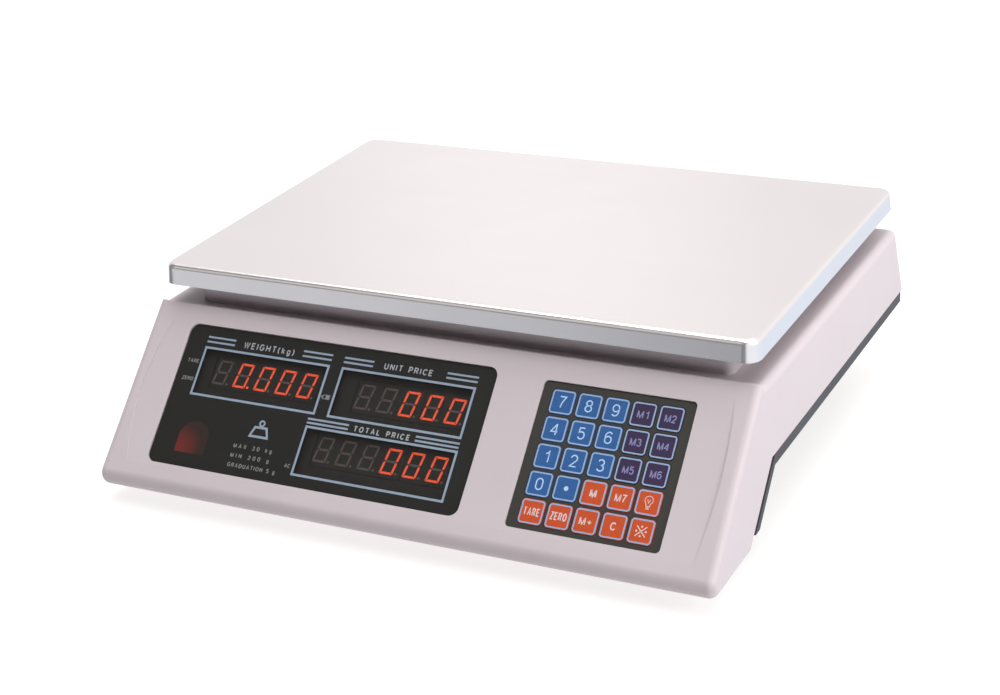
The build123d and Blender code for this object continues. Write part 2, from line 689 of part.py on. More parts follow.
def transformer():
    """A laminated core, its winding, and a strap with two feet."""
    floor = well_bottom_z + pan_wall
    strap = block((82, 138), (59, 101), (floor, floor + 2))
    core = block((88, 132), (60, 100), (floor + 2, floor + 44))
    for window in ((96, 106), (114, 124)):
        core -= block(window, (59, 101), (floor + 16, floor + 30))
    winding = block((98, 122), (55, 105), (floor + 17, floor + 29))
    winding -= block((105.8, 114.2), (50, 110), (0, 90))
    return Compound(children=[strap, core, winding])


def power_inlet():
    """A three-pin mains inlet, with its flange outside the left wall."""
    place = left_wall(inlet_y, power_z)
    flange = place * Pos(0, 0, 1.0) * extrude(RectangleRounded(31, 23.4, 2), amount=1.0, both=True)
    flange = chamfer(flange.faces().sort_by(Axis.X)[0].edges(), 0.5)
    body = flange + place * Pos(0, 0, -9) * Box(27, 19.6, 18.2)
    mouth = Polyline((-12.3, -8.4), (12.3, -8.4), (12.3, 3.2), (7.2, 8.4), (-7.2, 8.4), (-12.3, 3.2),
                     close=True)
    body -= place * Pos(0, 0, -15) * extrude(make_face(mouth), amount=20)
    pins = []
    for x, y in ((-7.0, -2.0), (0.0, 2.0), (7.0, -2.0)):
        pins.append(place * Pos(x, y, -17.6) * Box(2, 4, 16, align=(Align.CENTER, Align.CENTER, Align.MIN)))
    for pin in pins:
        body -= pin
    return Compound(children=[body] + pins)


def power_switch():
    """The switch's snap-in body; its hollow holds the rocker and its pivot."""
    place = left_wall(switch_y, power_z)
    flange = place * Pos(0, 0, 0.8) * extrude(RectangleRounded(21.5, 15.2, 1.5), amount=0.8, both=True)
    flange = chamfer(flange.faces().sort_by(Axis.X)[0].edges(), 0.5)
    body = flange + place * Pos(0, 0, -6) * Box(19.0, 12.9, 12.2)
    body -= place * Pos(0, 0, -3.0) * Box(17.2, 10.9, 13.2)
    body -= place * Pos(0, 0, rocker_pivot) * Rot(90, 0, 0) * Cylinder(1.25, 20)
    blades = [place * Pos(x, 0, -15.1) * Box(0.8, 4.8, 6.0) for x in (-5.0, 5.0)]
    return Compound(children=[body] + blades)


def power_rocker():
    """A rocker with two sloping halves, lying on its pressed side."""
    place = left_wall(switch_y, power_z)
    rise = rocker_dip + rocker_end * tan(radians(rocker_tilt))
    points = [(-rocker_end, rise), (0, rocker_dip), (rocker_end, rise), (6.5, 0), (4.0, -3.0),
              (-4.0, -3.0), (-6.5, 0)]
    cap = extrude(Plane.XZ * make_face(Polyline(*points, close=True)), amount=5.2, both=True)
    axle = Rot(90, 0, 0) * Cylinder(1.2, 12.4)
    return place * Pos(0, 0, rocker_pivot) * Rot(0, rocker_tilt, 0) * (cap + axle)


def tube(points, radius, bend):
    """A wire along straight runs joined by arcs."""
    path = FilletPolyline(*points, radius=bend)
    start = Plane(origin=path @ 0, z_dir=path % 0)
    return sweep(start * Circle(radius), path=path)


def internal_cables():
    cell_lead = tube([(-20, tray_y + 15, 49), (-20, 66, 49), (-20, 66, 27), (74, 66, 27), (74, 20, 27),
                      (74, 20, 37), (85.5, 20, 37)], 1.8, 4.5)
    battery_lead = tube([(-82, -27, 58.4), (-82, -50, 58.4), (-82, -50, 27), (79, -50, 27), (79, -12, 27),
                         (79, -12, 37), (85.5, -12, 37)], 1.4, 4.5)
    ribbon = [(-36.5, 36.0), (-46.0, 36.0), (-86.0, 52.0), (-111.0, 56.6)]
    sheet = [(y, z + 1.0) for y, z in reversed(ribbon)]
    flat = profile(ribbon + sheet, 9.0)
    return Compound(children=[cell_lead, battery_lead, Pos(106, 0, 0) * flat])


def screws():
    """Case screws from below, and the small screws of the boards and the battery cover."""
    pieces = []
    for side in (-1, 1):
        for y in case_screw_y:
            pieces.append(bolt(side * case_screw_x, y, pan_bottom_z + 3.4, 1, case_screw_radius, 24.0,
                               3.8, 2.6))
    for x, y in board_bosses:
        pieces.append(bolt(x, y, board_z + board_sheet, -1, 1.3, 5.5, 2.6, 1.8))
    for x, y in cover_screws:
        pieces.append(bolt(x, y, well_bottom_z + 1.2, 1, 1.7, 1.0, 3.2, 1.1))
    front_back = digit_face + digit_module_depth + board_sheet
    rear_back = rear_digit_face + digit_module_depth + board_sheet
    for plane, depth, places in (
        (face, front_back, [(x, -s) for x, s in display_board_holes]),
        (rear, rear_back, [(x, 0) for x in rear_board_holes]),
    ):
        for x, y in places:
            screw = bolt(0, 0, 0, -1, 1.3, 6.0, 2.6, 1.8)
            pieces.append(plane * Pos(x, y, -depth) * Rot(180, 0, 0) * screw)
    return Compound(children=pieces)


# ==== levelling feet ==========================================================================
def foot_pad(x, y):
    """A round rubber pad with a socket for the screw's end."""
    pad = post(x, y, 0, foot_pad_height, foot_pad_radius)
    pad = fillet(pad.edges().group_by(Axis.Z)[-1], 2.5)
    pad = fillet(pad.edges().group_by(Axis.Z)[0], 1.0)
    for radius in (7.5, 10.5):
        ring = post(x, y, -1, 0.6, radius + 0.6) - post(x, y, -2, 2, radius - 0.6)
        pad -= ring
    return pad - post(x, y, 3.0, 20, 5.0 + running_gap)


def foot_screw(x, y):
    """A levelling screw: its end turns in the pad, its hexagon is for a spanner."""
    end = post(x, y, 3.0 + running_gap, foot_pad_height + 0.6, 5.0)
    hexagon = Pos(x, y, foot_pad_height + 0.6) * extrude(RegularPolygon(7.5, 6), amount=5.4)
    hexagon = chamfer(hexagon.edges().group_by(Axis.Z)[0], 0.5)
    shank = post(x, y, foot_pad_height + 5.0, 39.0, foot_screw_radius)
    shank = chamfer(shank.edges().group_by(Axis.Z)[-1], 0.8)
    return end + hexagon + shank


# ==== all the nodes ===========================================================================
parts["upper_housing"] = upper_housing()
parts["base_pan"] = base_pan()
parts["battery_cover"] = battery_cover()
parts["tray"] = tray()
parts["tray_support"] = tray_support()
parts["tray_pads"] = tray_pads()
parts["load_cell"] = load_cell()
parts["cell_plates"] = cell_plates()
parts["cell_bolts"] = cell_bolts()
parts["front_window"] = panel_slab(window_x, window_s, window_width, window_height, window_radius,
                                   window_recess, window_recess + window_sheet)
parts["rear_window"] = slab(rear, 0, 0, rear_window_width, rear_window_height, 3.8, rear_recess,
                            rear_recess + window_sheet)
for name, (x, s, groups) in (("weight_display", weight_row), ("unit_price_display", unit_price_row),
                             ("total_price_display", total_price_row)):
    parts[name] = digit_row(face, x, -s, groups, digit_face)
parts["customer_displays"] = Compound(children=[
    digit_row(rear, x, 0, groups, rear_digit_face) for x, groups in customer_rows
])
parts["display_boards"] = display_boards()
parts["indicator_lamp"] = indicator_lamp()
parts["keypad_overlay"] = keypad_overlay()
parts["keypad_board"] = keypad_board()
for name, x, s in key_centres():
    parts[name] = key_cap(x, s)
parts["main_board"] = main_board()
parts["battery"] = battery()
parts["transformer"] = transformer()
parts["power_inlet"] = power_inlet()
parts["power_switch"] = power_switch()
parts["power_rocker"] = power_rocker()
parts["internal_cables"] = internal_cables()
parts["screws"] = screws()
for number, (x, y) in enumerate(foot_places, start=1):
    parts[f"foot_pad_{number}"] = foot_pad(x, y)
    parts[f"foot_screw_{number}"] = foot_screw(x, y)

os.makedirs("parts", exist_ok=True)
for name, shape in parts.items():
    export_step(shape, f"parts/{name}.step")
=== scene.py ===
from math import cos, pi, radians, sin, tan

import bmesh
import bpy
from mathutils import Matrix, Vector


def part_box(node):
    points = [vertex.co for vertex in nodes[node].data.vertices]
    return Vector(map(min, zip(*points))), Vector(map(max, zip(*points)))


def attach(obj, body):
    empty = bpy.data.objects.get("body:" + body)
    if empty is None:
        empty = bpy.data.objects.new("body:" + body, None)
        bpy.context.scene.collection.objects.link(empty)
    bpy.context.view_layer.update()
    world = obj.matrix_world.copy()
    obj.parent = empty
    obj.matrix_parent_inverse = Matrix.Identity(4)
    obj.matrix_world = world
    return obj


# Retail price scale: materials, printed graphics, lit digits, stage and lights round the CAD frame.
# Lengths on the console and on the rear panel are in millimetres, in the plane of that panel.

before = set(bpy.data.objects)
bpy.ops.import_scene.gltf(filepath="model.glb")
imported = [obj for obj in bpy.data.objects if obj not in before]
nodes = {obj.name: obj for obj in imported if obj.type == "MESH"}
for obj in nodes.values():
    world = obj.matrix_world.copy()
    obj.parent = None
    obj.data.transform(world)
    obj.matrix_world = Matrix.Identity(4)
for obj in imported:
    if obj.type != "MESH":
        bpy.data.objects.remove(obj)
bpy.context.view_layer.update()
slots = {name: node.material_slots[0].material.name for name, node in nodes.items()}
scene = bpy.context.scene
MM = 0.001

# ==== frames of the two display panels =======================================================
console_tilt = radians(45.0)
window_recess, window_sheet = 0.9, 2.0
rear_recess, rear_sheet = 0.5, 2.0
rear_slant = radians(21.42)
digit_face_depth = 5.0        # front of the display modules behind the console face
rear_digit_face_depth = 4.6   # the same behind the rear face
key_top_depth = 0.7           # front of the keys behind the console face
print_depth = 0.6             # how far the printed film lies behind the front of the window
film_thickness = 0.05
film_inset = 0.05             # how much smaller than its window the film is all round
lines_proud = 0.03            # how far the pale prints stand in front of the film


def panel_frame(origin, right, normal):
    """A matrix from panel millimetres (right, up, out) to the row frame in metres."""
    up = normal.cross(right)
    columns = Matrix((right, up, normal)).transposed()
    return Matrix.Translation(origin) @ (columns * MM).to_4x4()


def console_frame():
    """x as in the row frame, y up the face from the window's upper edge, z out of the face."""
    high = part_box("front_window")[1]
    normal = Vector((0, -sin(console_tilt), cos(console_tilt)))
    back = (window_recess + window_sheet) * MM * sin(console_tilt)
    lift = window_recess * MM * cos(console_tilt)
    return panel_frame(Vector((0, high[1] - back, high[2] + lift)), Vector((1, 0, 0)), normal)


def rear_frame():
    """x to the left of someone who stands behind the scale and faces it, y up the slope."""
    low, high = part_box("rear_window")
    normal = Vector((0, cos(rear_slant), sin(rear_slant)))
    middle = (Vector(low) + Vector(high)) / 2
    out = (rear_sheet / 2 + rear_recess) * MM
    return panel_frame(middle + normal * out, Vector((-1, 0, 0)), normal)


console = console_frame()
rear = rear_frame()


# ==== materials ==============================================================================
def add_node(tree, kind, inputs, settings):
    """A node with its inputs given as numbers, tuples or other nodes' outputs."""
    made = tree.nodes.new("ShaderNode" + kind)
    for name, value in settings.items():
        setattr(made, name, value)
    for socket, value in inputs.items():
        if isinstance(value, bpy.types.NodeSocket):
            tree.links.new(value, made.inputs[socket])
        else:
            made.inputs[socket].default_value = value
    return made


def darker(colour, share):
    """A colour of which only a share is left."""
    return tuple(c * share for c in colour)


class Finish:
    """A Principled material built up from procedural layers."""

    def __init__(self, name, colour, roughness, metallic=0.0, **plain):
        self.material = bpy.data.materials.new(name)
        self.material.use_nodes = True
        self.tree = self.material.node_tree
        self.shader = self.tree.nodes["Principled BSDF"]
        self.set("Base Color", (*colour, 1))
        self.set("Roughness", roughness)
        self.set("Metallic", metallic)
        for socket, value in plain.items():
            self.set(socket.replace("_", " "), value)
        self.place = self.tree.nodes.new("ShaderNodeTexCoord")
        self.normal = None

    def set(self, socket, value):
        self.shader.inputs[socket].default_value = value

    def node(self, kind, inputs, **settings):
        return add_node(self.tree, kind, inputs, settings)

    def noise(self, scale, detail=3.0, roughness=0.5, stretch=(1, 1, 1), space="Object"):
        """Noise with scale cells to the metre, drawn out along an axis where stretch is small."""
        mapping = self.node("Mapping", {"Vector": self.place.outputs[space], "Scale": stretch})
        return self.node("TexNoise", {
            "Vector": mapping.outputs["Vector"], "Scale": scale, "Detail": detail,
            "Roughness": roughness,
        }).outputs["Fac"]

    def spread(self, value, low, high, out_low=0.0, out_high=1.0):
        """value taken from low..high to out_low..out_high, and held there outside."""
        return self.node("MapRange", {
            "Value": value, "From Min": low, "From Max": high,
            "To Min": out_low, "To Max": out_high,
        }).outputs["Result"]

    def axis(self, name, space="Object"):
        """One coordinate of the surface point."""
        return self.node("SeparateXYZ", {"Vector": self.place.outputs[space]}).outputs[name]

    def distance(self, point, space="Object"):
        """Distance from a fixed point."""
        return self.node("VectorMath", {0: self.place.outputs[space], 1: point},
                         operation="DISTANCE").outputs["Value"]

    def times(self, a, b):
        return self.node("Math", {0: a, 1: b}, operation="MULTIPLY").outputs["Value"]

    def tint(self, factor, colour):
        """Lays colour over the base colour as far as factor says."""
        base = self.shader.inputs["Base Color"]
        under = base.links[0].from_socket if base.is_linked else tuple(base.default_value)
        mixed = self.node("Mix", {0: factor, 6: under, 7: (*colour, 1)}, data_type="RGBA")
        self.tree.links.new(mixed.outputs[2], base)
        return self

    def rough(self, factor, low, high):
        """Roughness from low to high as factor goes from 0 to 1."""
        self.tree.links.new(self.spread(factor, 0.0, 1.0, low, high),
                            self.shader.inputs["Roughness"])
        return self

    def bump(self, height, strength, distance):
        """Relief laid on top of any relief there is already."""
        inputs = {"Height": height, "Strength": strength, "Distance": distance}
        if self.normal:
            inputs["Normal"] = self.normal
        self.normal = self.node("Bump", inputs).outputs["Normal"]
        self.tree.links.new(self.normal, self.shader.inputs["Normal"])
        return self


def moulded(name, colour, dark, roughness, grain=1800.0, grain_depth=0.00004, **plain):
    """Moulded plastic: fine spark-eroded grain, a slow drift of tone, and faint specks."""
    made = Finish(name, colour, roughness, **plain)
    drift = made.noise(7.0, 4.0)
    made.tint(made.spread(drift, 0.35, 0.75, 0.0, 0.5), dark)
    specks = made.noise(900.0, 1.0)
    made.tint(made.spread(specks, 0.72, 0.8, 0.0, 0.25), dark)
    made.rough(made.noise(40.0, 4.0), roughness - 0.06, roughness + 0.08)
    return made.bump(made.noise(grain, 2.0), 0.25, grain_depth)


def shell_plastic(name, colour, dark, roughness):
    """The housing's plastic, with grime that gathers low down and at the parting line."""
    made = moulded(name, colour, dark, roughness)
    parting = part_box("base_pan")[1][2]
    height = made.axis("Z")
    above = made.node("Math", {0: height, 1: parting}, operation="SUBTRACT").outputs["Value"]
    near = made.spread(above, 0.0, 0.004, 1.0, 0.0)
    low = made.spread(height, 0.008, 0.03, 1.0, 0.0)
    patches = made.spread(made.noise(28.0, 5.0, 0.6), 0.42, 0.7)
    made.tint(made.times(made.times(low, patches), 0.25), dark)
    made.tint(made.times(made.times(near, patches), 0.10), dark)
    return made


def brushed_steel(name, colour, roughness):
    """Stainless sheet: hairlines and faint bands along X, and finger smudges."""
    made = Finish(name, colour, roughness, metallic=1.0)
    hairlines = made.noise(2600.0, 2.0, 0.6, stretch=(0.012, 1, 1))
    bands = made.noise(60.0, 3.0, 0.6, stretch=(0.05, 1, 1))
    smudges = made.noise(14.0, 5.0, 0.55)
    made.tint(made.spread(bands, 0.2, 0.9, 0.0, 0.16), darker(colour, 0.88))
    made.tint(made.spread(smudges, 0.3, 0.9, 0.0, 0.15), darker(colour, 0.92))
    made.rough(made.spread(smudges, 0.2, 0.9), roughness - 0.04, roughness + 0.06)
    return made.bump(hairlines, 0.10, 0.00002)


def plated(name, colour, roughness):
    """Plated or cast metal with a mottled skin."""
    made = Finish(name, colour, roughness, metallic=1.0)
    mottle = made.noise(220.0, 4.0)
    made.tint(made.spread(mottle, 0.4, 0.8, 0.0, 0.6), darker(colour, 0.72))
    made.rough(mottle, roughness - 0.08, roughness + 0.15)
    return made.bump(made.noise(1500.0, 3.0), 0.3, 0.00004)


def key_plastic(name, colour, worn):
    """A key's printed face, a little paler and glossier where fingers land."""
    made = Finish(name, colour, 0.42, Specular_IOR_Level=0.16)
    drift = made.noise(160.0, 3.0)
    made.tint(made.spread(drift, 0.4, 0.75, 0.0, 0.35), darker(colour, 0.82))
    middle = made.spread(made.distance((0.5, 0.5, 0.5), "Generated"), 0.1, 0.5, 1.0, 0.0)
    patches = made.spread(made.noise(420.0, 4.0), 0.4, 0.65)
    made.tint(made.times(made.times(middle, patches), 0.22), worn)
    made.rough(middle, 0.46, 0.34)
    return made.bump(made.noise(2600.0, 2.0), 0.2, 0.00003)


def ink(name, colour, roughness=0.5):
    """Screen-printed ink, slightly uneven."""
    made = Finish(name, colour, roughness)
    made.tint(made.spread(made.noise(700.0, 3.0), 0.4, 0.75, 0.0, 0.30), darker(colour, 0.72))
    return made


def smoked(name):
    """Smoked acrylic sheet, through which the display modules show."""
    made = Finish(name, (0.016, 0.015, 0.014), 0.10, Alpha=0.30, Specular_IOR_Level=0.6)
    haze = made.noise(60.0, 4.0)
    made.tint(made.spread(haze, 0.4, 0.8, 0.0, 0.3), (0.030, 0.028, 0.026))
    made.rough(haze, 0.07, 0.16)
    return made


def segment_light(name, colour, strength, bloom):
    """A lit LED segment, its glowing face slightly uneven."""
    made = Finish(name, darker(colour, 0.4), 0.5, Emission_Strength=strength)
    made.set("Emission Color", (*colour, 1))
    made.tint(made.spread(made.noise(900.0, 2.0), 0.3, 0.8), bloom)
    return made


def laminate(name, colour, dark, grain):
    """A circuit board or a laminated core: fine lines in colour and relief."""
    made = Finish(name, colour, 0.5)
    lines = made.noise(grain, 2.0, stretch=(1, 0.2, 1))
    made.tint(made.spread(lines, 0.45, 0.6), dark)
    return made.bump(lines, 0.3, 0.00005)


finishes = {
    "white_shell": shell_plastic("white_abs", (0.555, 0.488, 0.512), (0.49, 0.43, 0.45), 0.44),
    "grey_shell": shell_plastic("grey_abs", (0.036, 0.033, 0.034), (0.022, 0.020, 0.021), 0.5),
    "stainless": brushed_steel("stainless", (0.88, 0.825, 0.81), 0.24),
    "cast_aluminium": plated("cast_aluminium", (0.62, 0.62, 0.63), 0.45),
    "plated_steel": plated("plated_steel", (0.66, 0.65, 0.63), 0.30),
    "rubber": moulded("foot_rubber", (0.020, 0.020, 0.021), (0.045, 0.043, 0.042), 0.72, 1200.0),
    "smoked_panel": smoked("smoked_acrylic"),
    "led_module": moulded("led_epoxy", (0.052, 0.045, 0.037), (0.035, 0.030, 0.026), 0.55, 1500.0),
    "circuit_board": laminate("circuit_board", (0.013, 0.050, 0.026), (0.008, 0.030, 0.016), 600.0),
    "red_lamp": moulded("lamp_lens", (0.50, 0.03, 0.02), (0.35, 0.02, 0.015), 0.25, 500.0),
    "keypad_sheet": moulded("keypad_film", (0.046, 0.043, 0.038), (0.032, 0.030, 0.027), 0.42,
                            2400.0, Specular_IOR_Level=0.2),
    "key_blue": key_plastic("key_blue", (0.030, 0.103, 0.285), (0.075, 0.17, 0.40)),
    "key_purple": key_plastic("key_purple", (0.041, 0.026, 0.066), (0.075, 0.053, 0.11)),
    "key_orange": key_plastic("key_orange", (0.51, 0.073, 0.020), (0.60, 0.15, 0.06)),
    "battery_case": moulded("battery_case", (0.035, 0.037, 0.042), (0.02, 0.021, 0.024), 0.5),
    "transformer_iron": laminate("transformer_iron", (0.20, 0.19, 0.18), (0.10, 0.095, 0.09), 1500.0),
    "black_plastic": moulded("black_plastic", (0.022, 0.022, 0.023), (0.04, 0.038, 0.037), 0.42),
    "cable_jacket": moulded("cable_jacket", (0.05, 0.05, 0.052), (0.03, 0.03, 0.03), 0.55, 2200.0),
}
for name, node in nodes.items():
    node.material_slots[0].material = finishes[slots[name]].material

inks = {
    "pale": ink("pale_ink", (0.52, 0.64, 0.80)),
    "title": ink("title_ink", (0.70, 0.74, 0.80)),
    "dim": ink("dim_ink", (0.42, 0.43, 0.43)),
    "film": ink("black_film", (0.017, 0.0165, 0.0145), 0.35),
    "blue_legend": ink("blue_key_ink", (0.40, 0.58, 0.80)),
    "purple_legend": ink("purple_key_ink", (0.21, 0.21, 0.42)),
    "orange_legend": ink("orange_key_ink", (0.66, 0.55, 0.56)),
    "outline": ink("key_outline_ink", (0.26, 0.37, 0.56)),
    "lit": segment_light("lit_segment", (1.0, 0.105, 0.036), 1.3, (0.9, 0.2, 0.1)),
    "unlit": ink("unlit_segment", (0.26, 0.200, 0.175)),
    "mask": ink("display_mask", (0.050, 0.043, 0.035), 0.55),
}


def glow_pane():
    """Dark red filter with a painted glow: paler red and faint emission painted near its lower left,
    where the lamp sits behind it.
    """
    lamp, reach = console @ Vector((-133.6, -69.0, -1.5)), 0.013
    made = Finish("red_filter", (0.048, 0.027, 0.022), 0.30)
    near = made.spread(made.distance(lamp), 0.0, reach, 1.0, 0.0)
    # Painted light: the filter's colour is made paler red round the lamp's point, in place of lamp
    # light shining through it.
    made.tint(near, (0.16, 0.020, 0.014))
    # Painted glow: the filter itself emits light near the lamp, in place of light from the lamp
    # behind it.
    glow = made.spread(near, 0.0, 1.0, 0.004, 0.12)
    made.tree.links.new(glow, made.shader.inputs["Emission Strength"])
    made.set("Emission Color", (0.9, 0.08, 0.05, 1))
    return made


inks["filter"] = glow_pane()


# ==== flat shapes ============================================================================
def rectangle(x0, y0, x1, y1):
    return [(x0, y0), (x1, y0), (x1, y1), (x0, y1)]


def rounded(x0, y0, x1, y1, radius, steps=6):
    """A rectangle with round corners, anticlockwise from its lower right corner."""
    points = []
    for cx, cy, start in (
        (x1 - radius, y0 + radius, -90), (x1 - radius, y1 - radius, 0),
        (x0 + radius, y1 - radius, 90), (x0 + radius, y0 + radius, 180),
    ):
        for step in range(steps + 1):
            angle = radians(start + 90 * step / steps)
            points.append((cx + radius * cos(angle), cy + radius * sin(angle)))
    return points


def circle(x, y, radius, steps=24):
    return [(x + radius * cos(2 * pi * i / steps), y + radius * sin(2 * pi * i / steps))
            for i in range(steps)]


def arch(x0, y0, x1, y1, top_radius, steps=12):
    """Square below, with two large round corners at the top, anticlockwise from the lower right."""
    points = [(x0, y0), (x1, y0)]
    for cx, start in ((x1 - top_radius, 0), (x0 + top_radius, 90)):
        for step in range(steps + 1):
            angle = radians(start + 90 * step / steps)
            points.append((cx + top_radius * cos(angle), y1 - top_radius + top_radius * sin(angle)))
    return points


def arc(cx, cy, rx, ry, start, end):
    """Points along part of an ellipse, about every 15 degrees."""
    steps = max(2, round(abs(end - start) / 15))
    angles = [radians(start + (end - start) * i / steps) for i in range(steps + 1)]
    return [(cx + rx * cos(angle), cy + ry * sin(angle)) for angle in angles]


def rounded_bowl(x, low, high, width):
    """The round side of a P, R or D: out to the right from x at the top, and back at the bottom."""
    half = (high - low) / 2
    return [(0, high)] + arc(x, low + half, width - x, half, 90, -90) + [(0, low)]


# each letter's width and the middle lines of its strokes, for capitals of height 1
glyphs = {
    "0": (0.58, arc(0.29, 0.69, 0.29, 0.31, 0, 180) + arc(0.29, 0.31, 0.29, 0.31, 180, 360)
          + [(0.58, 0.69)]),
    "1": (0.30, [(0, 0.74), (0.18, 0.82), (0.30, 1), (0.30, 0)]),
    "2": (0.58, arc(0.29, 0.71, 0.28, 0.29, 170, -38) + [(0, 0), (0.58, 0)]),
    "3": (0.58, arc(0.28, 0.755, 0.26, 0.245, 160, -90), arc(0.29, 0.255, 0.29, 0.255, 90, -160)),
    "4": (0.62, [(0.46, 0), (0.46, 1)], [(0.46, 1), (0, 0.29), (0.62, 0.29)]),
    "5": (0.58, [(0.53, 1), (0.09, 1), (0.04, 0.50)], arc(0.29, 0.325, 0.29, 0.325, 145, -155)),
    "6": (0.58, arc(0.29, 0.31, 0.29, 0.31, 0, 360),
          [(0, 0.31)] + arc(0.31, 0.62, 0.31, 0.38, 180, 40)),
    "7": (0.56, [(0, 1), (0.56, 1), (0.36, 0.62), (0.25, 0.32), (0.20, 0)]),
    "8": (0.58, arc(0.29, 0.76, 0.25, 0.24, 0, 360), arc(0.29, 0.26, 0.29, 0.26, 0, 360)),
    "9": (0.58, arc(0.29, 0.69, 0.29, 0.31, 0, 360),
          [(0.58, 0.69)] + arc(0.27, 0.38, 0.31, 0.38, 0, -140)),
    "A": (0.70, [(0, 0), (0.35, 1), (0.70, 0)], [(0.12, 0.33), (0.58, 0.33)]),
    "C": (0.68, arc(0.36, 0.5, 0.36, 0.5, 40, 320)),
    "D": (0.66, [(0, 0)] + rounded_bowl(0.26, 0, 1, 0.66)),
    "E": (0.56, [(0.56, 1), (0, 1), (0, 0), (0.56, 0)], [(0, 0.52), (0.50, 0.52)]),
    "G": (0.72, arc(0.37, 0.5, 0.37, 0.5, 42, 335) + [(0.72, 0.46), (0.42, 0.46)]),
    "H": (0.66, [(0, 0), (0, 1)], [(0.66, 0), (0.66, 1)], [(0, 0.5), (0.66, 0.5)]),
    "I": (0.0, [(0, 0), (0, 1)]),
    "L": (0.50, [(0, 1), (0, 0), (0.50, 0)]),
    "M": (0.78, [(0, 0), (0, 1)], [(0, 1), (0.39, 0), (0.78, 1)], [(0.78, 1), (0.78, 0)]),
    "N": (0.66, [(0, 0), (0, 1)], [(0, 1), (0.66, 0)], [(0.66, 0), (0.66, 1)]),
    "O": (0.76, arc(0.38, 0.5, 0.38, 0.5, 0, 360)),
    "P": (0.60, [(0, 0)] + rounded_bowl(0.34, 0.46, 1, 0.60)),
    "R": (0.64, [(0, 0)] + rounded_bowl(0.34, 0.48, 1, 0.62), [(0.36, 0.48), (0.64, 0)]),
    "T": (0.62, [(0, 1), (0.62, 1)], [(0.31, 1), (0.31, 0)]),
    "U": (0.64, [(0, 1)] + arc(0.32, 0.32, 0.32, 0.32, 180, 360) + [(0.64, 1)]),
    "W": (0.96, [(0, 1), (0.24, 0), (0.48, 1), (0.72, 0), (0.96, 1)]),
    "X": (0.64, [(0, 0), (0.64, 1)], [(0, 1), (0.64, 0)]),
    "Z": (0.62, [(0, 1), (0.62, 1), (0, 0), (0.62, 0)]),
    "k": (0.48, [(0, 0), (0, 1)], [(0.44, 0.70), (0, 0.28)], [(0.15, 0.42), (0.48, 0)]),
    "g": (0.50, arc(0.25, 0.35, 0.25, 0.35, 0, 360),
          [(0.50, 0.70), (0.50, 0)] + arc(0.25, -0.02, 0.25, 0.25, 0, -150)),
    "(": (0.20, arc(0.42, 0.42, 0.42, 0.68, 125, 235)),
    ")": (0.20, arc(-0.22, 0.42, 0.42, 0.68, 55, -55)),
    "+": (0.56, [(0, 0.44), (0.56, 0.44)], [(0.28, 0.16), (0.28, 0.72)]),
    " ": (0.34,),
}
sharpest_mitre = 0.5          # cosine of the half turn past which a corner's point is cut short
side_bearing = (1.5, 0.05)    # gap between letters, in stroke widths and in letter heights


